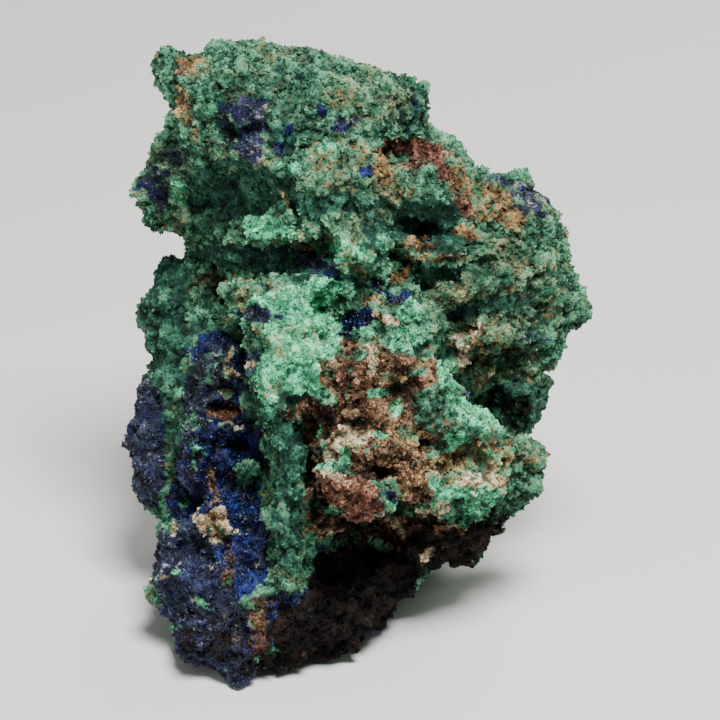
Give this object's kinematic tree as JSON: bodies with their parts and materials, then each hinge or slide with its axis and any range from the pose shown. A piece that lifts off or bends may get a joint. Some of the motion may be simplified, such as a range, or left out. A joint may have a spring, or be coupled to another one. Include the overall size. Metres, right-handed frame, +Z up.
{
  "type": "azurite and malachite mineral specimen",
  "caption": "Rugged hand specimen of azurite and malachite crusts on brown, iron-stained rock, trimmed flat underneath so that it stands with its showy face leaning back.",
  "frame": {"origin": "middle of the bounding box, at the level of the flat underside", "axes": "+Z up as it stands, showy face towards -Y and leaning back, +X to the viewer's right"},
  "size_m": [0.088, 0.0924, 0.0999],
  "materials": {
    "ore_crust": "rough, dull to earthy",
    "malachite": "fine-grained, velvety to faintly glittering",
    "azurite": "fine crystals, glassy in places, dusty in others",
    "ironstone": "earthy, dull, crumbly"
  },
  "bodies": {
    "root": {"azurite_specimen": "ore_crust"}
  },
  "joints": []
}
